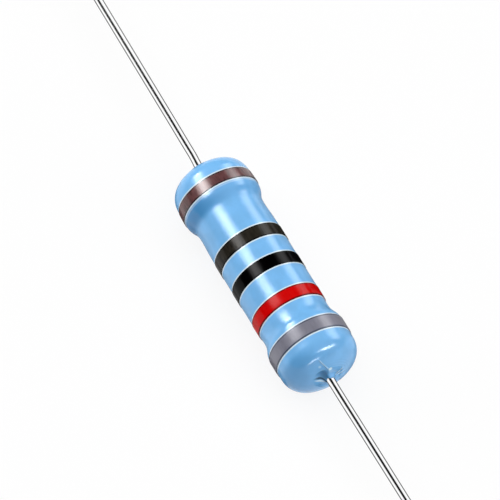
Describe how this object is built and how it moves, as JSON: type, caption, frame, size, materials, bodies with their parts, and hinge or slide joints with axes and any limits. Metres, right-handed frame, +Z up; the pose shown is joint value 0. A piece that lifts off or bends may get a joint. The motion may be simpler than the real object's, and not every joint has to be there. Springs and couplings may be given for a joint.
{
  "type": "axial resistor",
  "caption": "Axial-lead metal film resistor: a blue dog-bone body with colour bands and a straight tinned wire lead at each end.",
  "frame": {"origin": "middle of the ceramic rod, on the axis of the rod and of both leads, midway between the tips of the leads", "axes": "+X along the axis, from the first (grey) band to the fifth (brown) band; +Z up; +Y completes the right-handed frame"},
  "size_m": [0.0728, 0.005, 0.005],
  "materials": {
    "alumina": "matte",
    "metal_film": "satin",
    "cap_steel": "satin",
    "tinned_wire": "bright tin",
    "blue_lacquer": "gloss",
    "grey_paint": "gloss",
    "red_paint": "gloss",
    "black_paint": "gloss",
    "brown_paint": "satin"
  },
  "bodies": {
    "root": {"ceramic_core": "alumina", "resistive_film": "metal_film", "end_cap_left": "cap_steel", "end_cap_right": "cap_steel", "lead_left": "tinned_wire", "lead_right": "tinned_wire", "epoxy_coating": "blue_lacquer", "band_1_grey": "grey_paint", "band_2_red": "red_paint", "band_3_black": "black_paint", "band_4_black": "black_paint", "band_5_brown": "brown_paint"}
  },
  "joints": []
}
